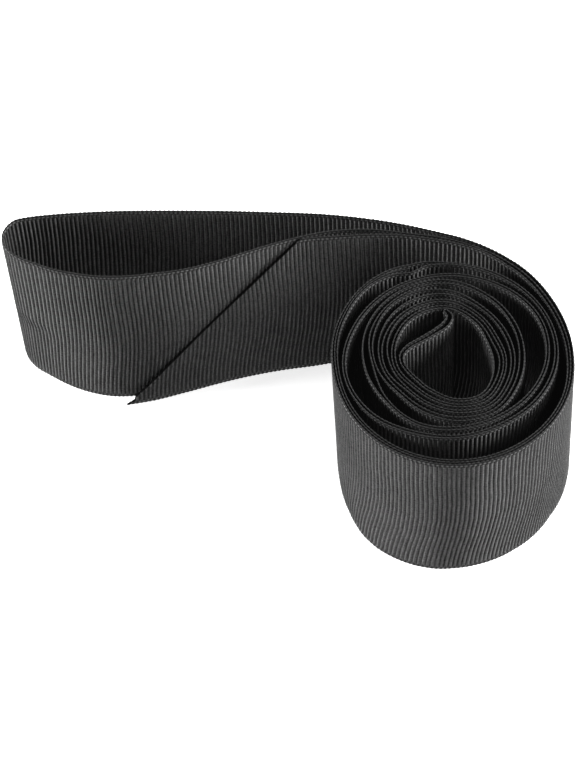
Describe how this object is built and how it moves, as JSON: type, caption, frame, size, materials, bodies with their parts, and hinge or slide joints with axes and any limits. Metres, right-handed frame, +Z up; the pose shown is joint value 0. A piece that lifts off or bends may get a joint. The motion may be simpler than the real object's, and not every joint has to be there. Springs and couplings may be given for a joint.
{
  "type": "ribbon sash",
  "caption": "Black grosgrain ribbon sash stood on its long edge: wound doubled into a loose roll, with an open loop and a slant-cut end trailing from it",
  "frame": {"origin": "middle of the underside of the bounding box, on the surface that the sash stands on", "axes": "+X runs from the open loop to the roll, +Y goes from the slant-cut end to the rear stretch, +Z is up, across the ribbon's width"},
  "size_m": [0.1056, 0.0644, 0.038],
  "materials": {
    "grosgrain": "dull black cross-ribbed weave with a faint sheen on the ribs"
  },
  "bodies": {
    "root": {"core_fold": "grosgrain", "core_turn": "grosgrain", "second_turn": "grosgrain", "third_turn": "grosgrain", "fourth_turn": "grosgrain", "fifth_turn": "grosgrain", "sixth_turn": "grosgrain", "outer_turn": "grosgrain", "rear_stretch": "grosgrain", "loop_bend": "grosgrain", "front_stretch": "grosgrain", "cut_end_stretch": "grosgrain"}
  },
  "joints": []
}
